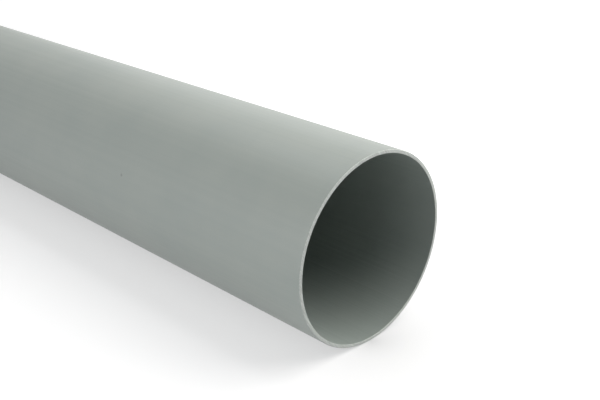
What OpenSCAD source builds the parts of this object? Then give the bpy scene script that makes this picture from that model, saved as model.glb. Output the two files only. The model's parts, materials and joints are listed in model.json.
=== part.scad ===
// Round rainwater downpipe: one extruded length of grey PVC-U, both ends sawn square.
// The pipe lies along X, resting on the plane Z = 0, with its middle over the origin.

/* [Pipe] */
// Outer diameter of the pipe, which slides into a socket
outer_d = 100; // [50:1:160]
// Thickness of the pipe wall
wall = 1.8; // [1.2:0.1:5]
// Length the pipe is cut to
pipe_length = 1000; // [250:10:5550]

/* [Ends] */
// Width of the eased outer edge at each end
outer_ease = 0.4; // [0.1:0.05:0.5]
// Width of the eased inner edge at each end
inner_ease = 0.25; // [0.1:0.05:0.5]

/* [Hidden] */
grey_pvc = [0.60, 0.63, 0.60];
outer_r = outer_d / 2;
inner_r = outer_r - wall;
$fn = 180;

// The wall cut along the pipe: X is the distance from the axis, Y runs along the pipe from one end.
module wall_section() {
    polygon([
        [inner_r, inner_ease],
        [inner_r + inner_ease, 0],
        [outer_r - outer_ease, 0],
        [outer_r, outer_ease],
        [outer_r, pipe_length - outer_ease],
        [outer_r - outer_ease, pipe_length],
        [inner_r + inner_ease, pipe_length],
        [inner_r, pipe_length - inner_ease]
    ]);
}

// The section turned round the axis, laid down along X and lifted until the wall touches Z = 0.
module pipe() {
    color(grey_pvc)
        translate([-pipe_length / 2, 0, outer_r])
            rotate([0, 90, 0])
                rotate_extrude()
                    wall_section();
}

pipe();
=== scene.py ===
"""Looks of a round rainwater downpipe: one sawn length of grey rigid PVC, lying on a studio floor.

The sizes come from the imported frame. The pipe is modelled once more with fine round walls and eased
ends, and it stands for the CAD node, which stays in the simulation. Everything is in metres.
"""

import json
import math

import bpy
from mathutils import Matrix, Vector


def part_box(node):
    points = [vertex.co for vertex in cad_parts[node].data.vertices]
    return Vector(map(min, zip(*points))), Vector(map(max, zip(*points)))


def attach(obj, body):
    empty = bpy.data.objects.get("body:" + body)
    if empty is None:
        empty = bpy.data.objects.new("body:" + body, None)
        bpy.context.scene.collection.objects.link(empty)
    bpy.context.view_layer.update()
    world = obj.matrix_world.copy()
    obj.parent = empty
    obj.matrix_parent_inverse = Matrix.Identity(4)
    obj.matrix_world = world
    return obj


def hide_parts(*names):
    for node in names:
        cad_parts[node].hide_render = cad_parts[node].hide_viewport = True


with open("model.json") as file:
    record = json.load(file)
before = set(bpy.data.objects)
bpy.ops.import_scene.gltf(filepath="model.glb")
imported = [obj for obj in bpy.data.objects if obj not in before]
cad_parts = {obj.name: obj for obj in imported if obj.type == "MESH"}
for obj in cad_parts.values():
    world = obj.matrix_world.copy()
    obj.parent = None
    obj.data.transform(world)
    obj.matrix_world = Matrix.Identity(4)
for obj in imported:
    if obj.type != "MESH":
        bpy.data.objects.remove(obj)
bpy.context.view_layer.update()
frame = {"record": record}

MM = 0.001
MICRON = 0.000001

# The pipe's sizes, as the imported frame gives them
low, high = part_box("pipe")
mounts = {mount["name"]: mount for mount in frame["record"]["mounts"]}
LENGTH = high.x - low.x
OUTER_R = mounts["spigot_front"]["dims"]["r_mm"] * MM
BORE_R = mounts["bore_front"]["dims"]["r_mm"] * MM
WALL = OUTER_R - BORE_R
WALL_MIDDLE = (OUTER_R + BORE_R) / 2
OUTER_EASE = high.x - mounts["spigot_front"]["pos_m"][0]
INNER_EASE = high.x - mounts["bore_front"]["pos_m"][0]
AXIS = Vector((0, 0, low.z + OUTER_R))

# How finely the pipe is modelled, and how near the plane of an end a point lies to count as on it
SIDES = 256
STRETCHES = 24
EASE_STEPS = 4
NEAR = 0.01 * MM

# Faces that meet at less than this are one smooth surface
SMOOTH_BELOW = math.radians(30)

# The pale, matt finish that saw and scraper leave goes round the eased edges to this slant
SAWN_TO_SLANT = math.radians(60)

# Rigid PVC bends light a little more than acrylic does
PVC_IOR = 1.54

# How much the wide die lines add to the mottle's tone, and how high the narrow lines and the grain are
# beside the wide lines
WIDE_LINES_IN_TONE = 0.5
NARROW_LINE_HEIGHT = 0.6
GRAIN_HEIGHT = 0.4

# The sawn ends: how far the saw's strokes lean from upright, how far apart, long and high its teeth's
# marks are, the size and height of the crumbs between them, and how matt it all is
SAW_LEAN = math.radians(35)
TOOTH_SPACING = 0.6 * MM
STROKE_LENGTH = 12 * MM
TOOTH_HEIGHT = 40 * MICRON
CRUMB_SIZE = 0.5 * MM
CRUMB_HEIGHT = 20 * MICRON
SAWN_ROUGHNESS = 0.72

# Where the values of a noise, of the skins' tone and of the sawn ends' tone mostly lie
NOISE_LOW, NOISE_HIGH = 0.3, 0.7
SKIN_TONE_LOW, SKIN_TONE_HIGH = 0.5, 1.0
SAWN_TONE_LOW, SAWN_TONE_HIGH = 0.7, 1.3

# Flecks of burnt resin: one behind the open end on the camera's side, and a few more far apart
FLECK_BEHIND_END = 138 * MM
FLECK_FROM_TOP = math.radians(74)
FLECK_SPACING = 40 * MM
FLECK_RADIUS = 0.8 * MM
FLECK_STRENGTH = 0.35

# The Mix node's colour sockets go by number, because its sockets share their names
MIX_FACTOR, MIX_FIRST, MIX_SECOND, MIX_COLOUR = 0, 6, 7, 2

# The camera looks at a point a little behind the open end and above the pipe's axis
CAMERA_AIM = Vector((high.x - 0.05, 0, AXIS.z + 0.0113))
CAMERA_DISTANCE = 0.4672
CAMERA_AZIMUTH = 45.19
CAMERA_ELEVATION = 22.96
CAMERA_LENS = 54.91

# The softboxes stand round a point on the pipe's first stretch
LIGHT_AIM = Vector((high.x - 0.08, 0, AXIS.z))

# The cloth of the key's softbox is a little warm
KEY_TINT = "#FFFEF9"

# The floor paper's width and its colour, which is a little cool and which the warm key makes neutral
FLOOR_WIDTH = 20
FLOOR_PAPER = "#BCBCBE"

# The air's fill
AIR_FILL = 0.098

# The glow that whitens the floor where it is seen. It fades under the pipe, where little light gets in,
# as a painted contact shadow, which the pipe's lower edge also reflects. It grows outwards by this power
# to full white where the softboxes' own light ends
GLOW_FULL_AT = 1.5
GLOW_GROWTH = 0.16


def linear(hex_colour):
    """A colour written as sRGB hex, as the four linear values that a node takes."""
    def channel(pair):
        v = int(pair, 16) / 255
        return v / 12.92 if v <= 0.04045 else ((v + 0.055) / 1.055) ** 2.4

    digits = hex_colour.lstrip("#")
    return (*(channel(digits[i:i + 2]) for i in (0, 2, 4)), 1.0)


def per(size):
    """The scale of a pattern whose features are this size."""
    return 1 / size


def add(tree, kind, inputs=None, **settings):
    """Adds one node with its settings. Each input is a plain value or another node's output."""
    made = tree.nodes.new("ShaderNode" + kind)
    for name, value in settings.items():
        setattr(made, name, value)
    for name, value in (inputs or {}).items():
        if isinstance(value, bpy.types.NodeSocket):
            tree.links.new(value, made.inputs[name])
        else:
            made.inputs[name].default_value = value
    return made.outputs


def new_material(name):
    """A material with an empty node tree, and that tree."""
    material = bpy.data.materials.new(name)
    material.use_nodes = True
    material.node_tree.nodes.clear()
    return material, material.node_tree


def rigid_pvc(tree, colour, roughness, relief):
    """The PVC shader. The relief is a height in metres."""
    bump = add(tree, "Bump", {"Height": relief, "Distance": 1.0, "Strength": 1.0})
    shader = add(tree, "BsdfPrincipled", {"Base Color": colour, "Roughness": roughness, "IOR": PVC_IOR,
                                          "Normal": bump["Normal"]})
    add(tree, "OutputMaterial", {"Surface": shader["BSDF"]})


def die_lines(tree, place, width, length):
    """Noise drawn out along the pipe, like the lines that the lip of a die leaves."""
    drawn = add(tree, "Mapping", {"Vector": place, "Scale": (per(length), per(width), per(width))})
    return add(tree, "TexNoise", {"Vector": drawn["Vector"], "Scale": 1.0, "Detail": 1.0})["Fac"]


def extruded_finish(tree, place, dark, light, satin, dull, line_height):
    """Colour, roughness and relief of PVC as it leaves the die.

    The pigment isn't quite even, so a soft mottle as wide as a thumb and faint lengthwise bands show.
    Real lines from a die, and the grain between them, are only a few microns high. They are drawn
    some ten times as high, so that gloss and shading just waver across the pipe in a close look.
    """
    mottle = add(tree, "TexNoise", {"Vector": place, "Scale": per(28 * MM), "Detail": 3.0})
    wide = die_lines(tree, place, width=3.5 * MM, length=900 * MM)
    narrow = die_lines(tree, place, width=0.8 * MM, length=400 * MM)
    grain = add(tree, "TexNoise", {"Vector": place, "Scale": per(1.2 * MM), "Detail": 3.0})

    tone = add(tree, "Math", {0: wide, 1: WIDE_LINES_IN_TONE, 2: mottle["Fac"]}, operation="MULTIPLY_ADD")
    tone = add(tree, "MapRange", {"Value": tone["Value"], "From Min": SKIN_TONE_LOW,
                                  "From Max": SKIN_TONE_HIGH})
    colour = add(tree, "Mix", {MIX_FACTOR: tone["Result"], MIX_FIRST: linear(dark),
                               MIX_SECOND: linear(light)}, data_type="RGBA")[MIX_COLOUR]

    roughness = add(tree, "MapRange", {"Value": narrow, "From Min": NOISE_LOW, "From Max": NOISE_HIGH,
                                       "To Min": satin, "To Max": dull})

    relief = add(tree, "Math", {0: wide, 1: line_height}, operation="MULTIPLY")
    relief = add(tree, "Math", {0: narrow, 1: line_height * NARROW_LINE_HEIGHT, 2: relief["Value"]},
                 operation="MULTIPLY_ADD")
    relief = add(tree, "Math", {0: grain["Fac"], 1: line_height * GRAIN_HEIGHT, 2: relief["Value"]},
                 operation="MULTIPLY_ADD")
    return colour, roughness["Result"], relief["Value"]


def outer_skin():
    """Rigid PVC, extruded through a cooling sleeve: an even satin grey, with a few dark flecks."""
    material, tree = new_material("extruded_rigid_pvc_outside")
    place = add(tree, "TexCoord")["Object"]
    colour, roughness, relief = extruded_finish(tree, place, dark="#99A19D", light="#9FA6A1",
                                                satin=0.42, dull=0.52, line_height=30 * MICRON)

    known_fleck = (high.x - FLECK_BEHIND_END, AXIS.y - OUTER_R * math.sin(FLECK_FROM_TOP),
                   AXIS.z + OUTER_R * math.cos(FLECK_FROM_TOP))
    known = add(tree, "VectorMath", {0: place, 1: known_fleck}, operation="DISTANCE")
    scattered = add(tree, "TexVoronoi", {"Vector": place, "Scale": per(FLECK_SPACING)})
    scattered = add(tree, "Math", {0: scattered["Distance"], 1: FLECK_SPACING}, operation="MULTIPLY")
    nearest = add(tree, "Math", {0: known["Value"], 1: scattered["Value"]}, operation="MINIMUM")
    fleck = add(tree, "MapRange", {"Value": nearest["Value"], "From Min": FLECK_RADIUS / 2,
                                   "From Max": FLECK_RADIUS * 1.5, "To Min": FLECK_STRENGTH,
                                   "To Max": 0.0})
    colour = add(tree, "Mix", {MIX_FACTOR: fleck["Result"], MIX_FIRST: colour,
                               MIX_SECOND: linear("#4E524F")}, data_type="RGBA")[MIX_COLOUR]

    rigid_pvc(tree, colour, roughness, relief)
    return material


def bore_skin():
    """Rigid PVC, extruded and cooled in free air: the same grey, duller, with higher lines."""
    material, tree = new_material("extruded_rigid_pvc_bore")
    place = add(tree, "TexCoord")["Object"]
    rigid_pvc(tree, *extruded_finish(tree, place, dark="#97A09C", light="#9DA5A1",
                                     satin=0.43, dull=0.55, line_height=50 * MICRON))
    return material


def sawn_end():
    """Rigid PVC, cut by a fine saw: the teeth leave it matt and paler, with close lines across.

    Real teeth leave lines a few tenths of a millimetre apart. These are drawn further apart, to show.
    """
    material, tree = new_material("sawn_rigid_pvc")
    place = add(tree, "TexCoord")["Object"]
    along = add(tree, "Mapping", {"Vector": place, "Rotation": (SAW_LEAN, 0, 0),
                                  "Scale": (1, TOOTH_SPACING, STROKE_LENGTH)}, vector_type="TEXTURE")
    teeth = add(tree, "TexNoise", {"Vector": along["Vector"], "Scale": 1.0, "Detail": 2.0})
    crumbs = add(tree, "TexNoise", {"Vector": place, "Scale": per(CRUMB_SIZE), "Detail": 2.0})
    tone = add(tree, "Math", {0: teeth["Fac"], 1: crumbs["Fac"]}, operation="ADD")
    tone = add(tree, "MapRange", {"Value": tone["Value"], "From Min": SAWN_TONE_LOW,
                                  "From Max": SAWN_TONE_HIGH})
    colour = add(tree, "Mix", {MIX_FACTOR: tone["Result"], MIX_FIRST: linear("#B9BFBC"),
                               MIX_SECOND: linear("#D8DDDA")}, data_type="RGBA")[MIX_COLOUR]
    relief = add(tree, "Math", {0: teeth["Fac"], 1: TOOTH_HEIGHT}, operation="MULTIPLY")
    relief = add(tree, "Math", {0: crumbs["Fac"], 1: CRUMB_HEIGHT, 2: relief["Value"]},
                 operation="MULTIPLY_ADD")
    rigid_pvc(tree, colour, SAWN_ROUGHNESS, relief["Value"])
    return material


def deselect_all():
    """Operators act on all that is selected, so each piece starts from nothing selected."""
    bpy.ops.object.select_all(action="DESELECT")


def from_axis(point):
    """Distance of a point from the pipe's axis."""
    return math.hypot(point.y - AXIS.y, point.z - AXIS.z)


def on_an_end(*points):
    """Whether all these points lie on the pipe's sawn ends."""
    return all(point.x > high.x - NEAR or point.x < low.x + NEAR for point in points)


def edit(mesh, mode, parts, rule, steps):
    """Selects the faces or edges that a rule picks, and nothing else, and runs the steps on them."""
    for kind in (mesh.vertices, mesh.edges, mesh.polygons):
        kind.foreach_set("select", [False] * len(kind))
    for part in parts:
        part.select = rule(part)
    bpy.context.tool_settings.mesh_select_mode = (False, mode == "EDGE", mode == "FACE")
    bpy.ops.object.mode_set(mode="EDIT")
    for step in steps:
        step()
    bpy.ops.object.mode_set(mode="OBJECT")


def edit_faces(mesh, rule, *steps):
    """Runs edit-mode steps on the faces that a rule picks."""
    edit(mesh, "FACE", mesh.polygons, rule, steps)


def edit_edges(mesh, rule, *steps):
    """Runs edit-mode steps on the edges that a rule picks by their two end points."""
    def by_points(edge):
        return rule(*(mesh.vertices[i].co for i in edge.vertices))

    edit(mesh, "EDGE", mesh.edges, by_points, steps)


def make_tube():
    """A round bar, bored by bridging the insets of its two ends, and ringed along its length."""
    deselect_all()
    bpy.ops.mesh.primitive_cylinder_add(
        vertices=SIDES, radius=OUTER_R, depth=LENGTH, end_fill_type="NGON",
        location=((low.x + high.x) / 2, AXIS.y, AXIS.z), rotation=(0, math.pi / 2, 0))
    tube = bpy.context.object
    bpy.ops.object.transform_apply(location=True, rotation=True, scale=True)
    edit_faces(tube.data, lambda face: on_an_end(face.center),
               lambda: bpy.ops.mesh.inset(thickness=WALL),
               lambda: bpy.ops.mesh.bridge_edge_loops())
    edit_edges(tube.data, lambda a, b: abs(a.x - b.x) > LENGTH / 2,
               lambda: bpy.ops.mesh.subdivide(number_cuts=STRETCHES - 1))
    return tube


def ease_ends(mesh):
    """Rounds the outer and the inner edge of both sawn ends."""
    edit_edges(mesh, lambda a, b: on_an_end(a, b) and min(from_axis(a), from_axis(b)) > WALL_MIDDLE,
               lambda: bpy.ops.mesh.bevel(offset=OUTER_EASE, segments=EASE_STEPS, affect="EDGES"))
    edit_edges(mesh, lambda a, b: on_an_end(a, b) and max(from_axis(a), from_axis(b)) < WALL_MIDDLE,
               lambda: bpy.ops.mesh.bevel(offset=INNER_EASE, segments=EASE_STEPS, affect="EDGES"))


def shade_round(tube):
    """Shades the walls round, and straight right up to the eased edges."""
    edit_faces(tube.data, lambda face: True,
               lambda: bpy.ops.mesh.normals_make_consistent(inside=False))
    bpy.ops.object.shade_smooth_by_angle(angle=SMOOTH_BELOW)
    bpy.ops.object.modifier_add(type="WEIGHTED_NORMAL")
    bpy.ops.object.modifier_apply(modifier=tube.modifiers[-1].name)


def give_finishes(mesh):
    """The walls are as the die left them, and the ends are sawn, with most of their eased edges."""
    mesh.materials.clear()
    for material in (outer_skin(), bore_skin(), sawn_end()):
        mesh.materials.append(material)
    for face in mesh.polygons:
        if abs(face.normal.x) > math.cos(SAWN_TO_SLANT):
            face.material_index = 2
        elif from_axis(face.center) < WALL_MIDDLE:
            face.material_index = 1
        else:
            face.material_index = 0


def make_downpipe():
    """The one piece: an open tube that stands for the CAD node."""
    pipe = make_tube()
    pipe.name = pipe.data.name = "downpipe"
    ease_ends(pipe.data)
    shade_round(pipe)
    give_finishes(pipe.data)
    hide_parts("pipe")
    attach(pipe, "root")


def seen_directly(tree):
    """1 for what the camera sees, also in a reflection or through glass, and 0 for soft light."""
    path = add(tree, "LightPath")
    seen = add(tree, "Math", {0: path["Is Camera Ray"], 1: path["Is Glossy Ray"]}, operation="MAXIMUM")
    return add(tree, "Math", {0: seen["Value"], 1: path["Is Transmission Ray"]},
               operation="MAXIMUM")["Value"]


def beside_pipe(tree):
    """How far a point of the floor is from the line that the pipe rests on."""
    place = add(tree, "TexCoord")["Object"]
    folded = add(tree, "VectorMath", {0: place}, operation="ABSOLUTE")
    past = add(tree, "VectorMath", {0: folded["Vector"], 1: (LENGTH / 2, 0, 0)}, operation="SUBTRACT")
    past = add(tree, "VectorMath", {0: past["Vector"], 1: (0, 0, 0)}, operation="MAXIMUM")
    return add(tree, "VectorMath", {0: past["Vector"]}, operation="LENGTH")["Value"]


def make_floor():
    """A plain floor of pale paper, which glows to white where it is seen and keeps the pipe's shadow. The
    glow fades under the pipe, which paints a contact shadow there.
    """
    deselect_all()
    bpy.ops.mesh.primitive_plane_add(size=FLOOR_WIDTH, location=(0, 0, low.z))
    floor = bpy.context.object
    floor.name = floor.data.name = "studio_floor"
    material, tree = new_material("pale_floor_paper")
    paper = add(tree, "BsdfDiffuse", {"Color": linear(FLOOR_PAPER)})
    # The glow is weaker near the line the pipe rests on: this paints a contact shadow on the floor
    glow_and_painted_shadow_ramp = add(tree, "MapRange", {"Value": beside_pipe(tree), "From Max": GLOW_FULL_AT})
    glow = add(tree, "Math", {0: glow_and_painted_shadow_ramp["Result"], 1: GLOW_GROWTH}, operation="POWER")
    glow = add(tree, "Math", {0: glow["Value"], 1: seen_directly(tree)}, operation="MULTIPLY")
    glow = add(tree, "Emission", {"Strength": glow["Value"]})
    look = add(tree, "AddShader", {0: paper["BSDF"], 1: glow["Emission"]})
    add(tree, "OutputMaterial", {"Surface": look["Shader"]})
    floor.data.materials.append(material)


def make_air():
    """The studio's air: white where it is seen, and a low even fill where it lights the pipe."""
    world = bpy.data.worlds.new("studio_air")
    bpy.context.scene.world = world
    world.use_nodes = True
    tree = world.node_tree
    tree.nodes.clear()
    strength = add(tree, "MapRange", {"Value": seen_directly(tree), "To Min": AIR_FILL, "To Max": 1.0})
    air = add(tree, "Background", {"Color": (1, 1, 1, 1), "Strength": strength["Result"]})
    add(tree, "OutputWorld", {"Surface": air["Background"]})


def direction(azimuth, elevation):
    """The way out from the pipe, in degrees. Azimuth 0 is -Y, and 90 is +X, past the open end."""
    a, e = math.radians(azimuth), math.radians(elevation)
    return Vector((math.sin(a) * math.cos(e), -math.cos(a) * math.cos(e), math.sin(e)))


def softbox(name, azimuth, elevation, distance, size, power, tint="#FFFFFF"):
    """A square studio softbox that points at the pipe. The camera doesn't see the box itself."""
    lamp = bpy.data.lights.new(name, "AREA")
    lamp.shape = "SQUARE"
    lamp.size = size
    lamp.energy = power
    lamp.color = linear(tint)[:3]
    outward = direction(azimuth, elevation)
    box = bpy.data.objects.new(name, lamp)
    box.location = LIGHT_AIM + distance * outward
    box.rotation_euler = (-outward).to_track_quat("-Z", "Y").to_euler()
    box.visible_camera = False
    bpy.context.scene.collection.objects.link(box)


def make_camera():
    """The camera, placed by its direction and distance from the point that it looks at."""
    outward = direction(CAMERA_AZIMUTH, CAMERA_ELEVATION)
    camera = bpy.data.objects.new("camera", bpy.data.cameras.new("camera"))
    camera.location = CAMERA_AIM + CAMERA_DISTANCE * outward
    camera.rotation_euler = (-outward).to_track_quat("-Z", "Y").to_euler()
    camera.data.lens = CAMERA_LENS
    camera.data.sensor_width = 36
    camera.data.clip_start = 0.01
    bpy.context.scene.collection.objects.link(camera)
    bpy.context.scene.camera = camera


make_camera()
make_downpipe()
make_floor()
make_air()
softbox("key_softbox", azimuth=141, elevation=44.7, distance=0.9, size=0.98, power=10, tint=KEY_TINT)
softbox("front_softbox", azimuth=345, elevation=13.6, distance=2.5, size=1.25, power=20)
softbox("low_back_softbox", azimuth=221, elevation=25.5, distance=2.5, size=1.6, power=7.1)
softbox("high_back_softbox", azimuth=258, elevation=53, distance=2.5, size=0.35, power=5.85)
softbox("fill_softbox", azimuth=10, elevation=16.5, distance=0.5, size=0.36, power=0.54)
bpy.context.scene.view_settings.view_transform = "Standard"
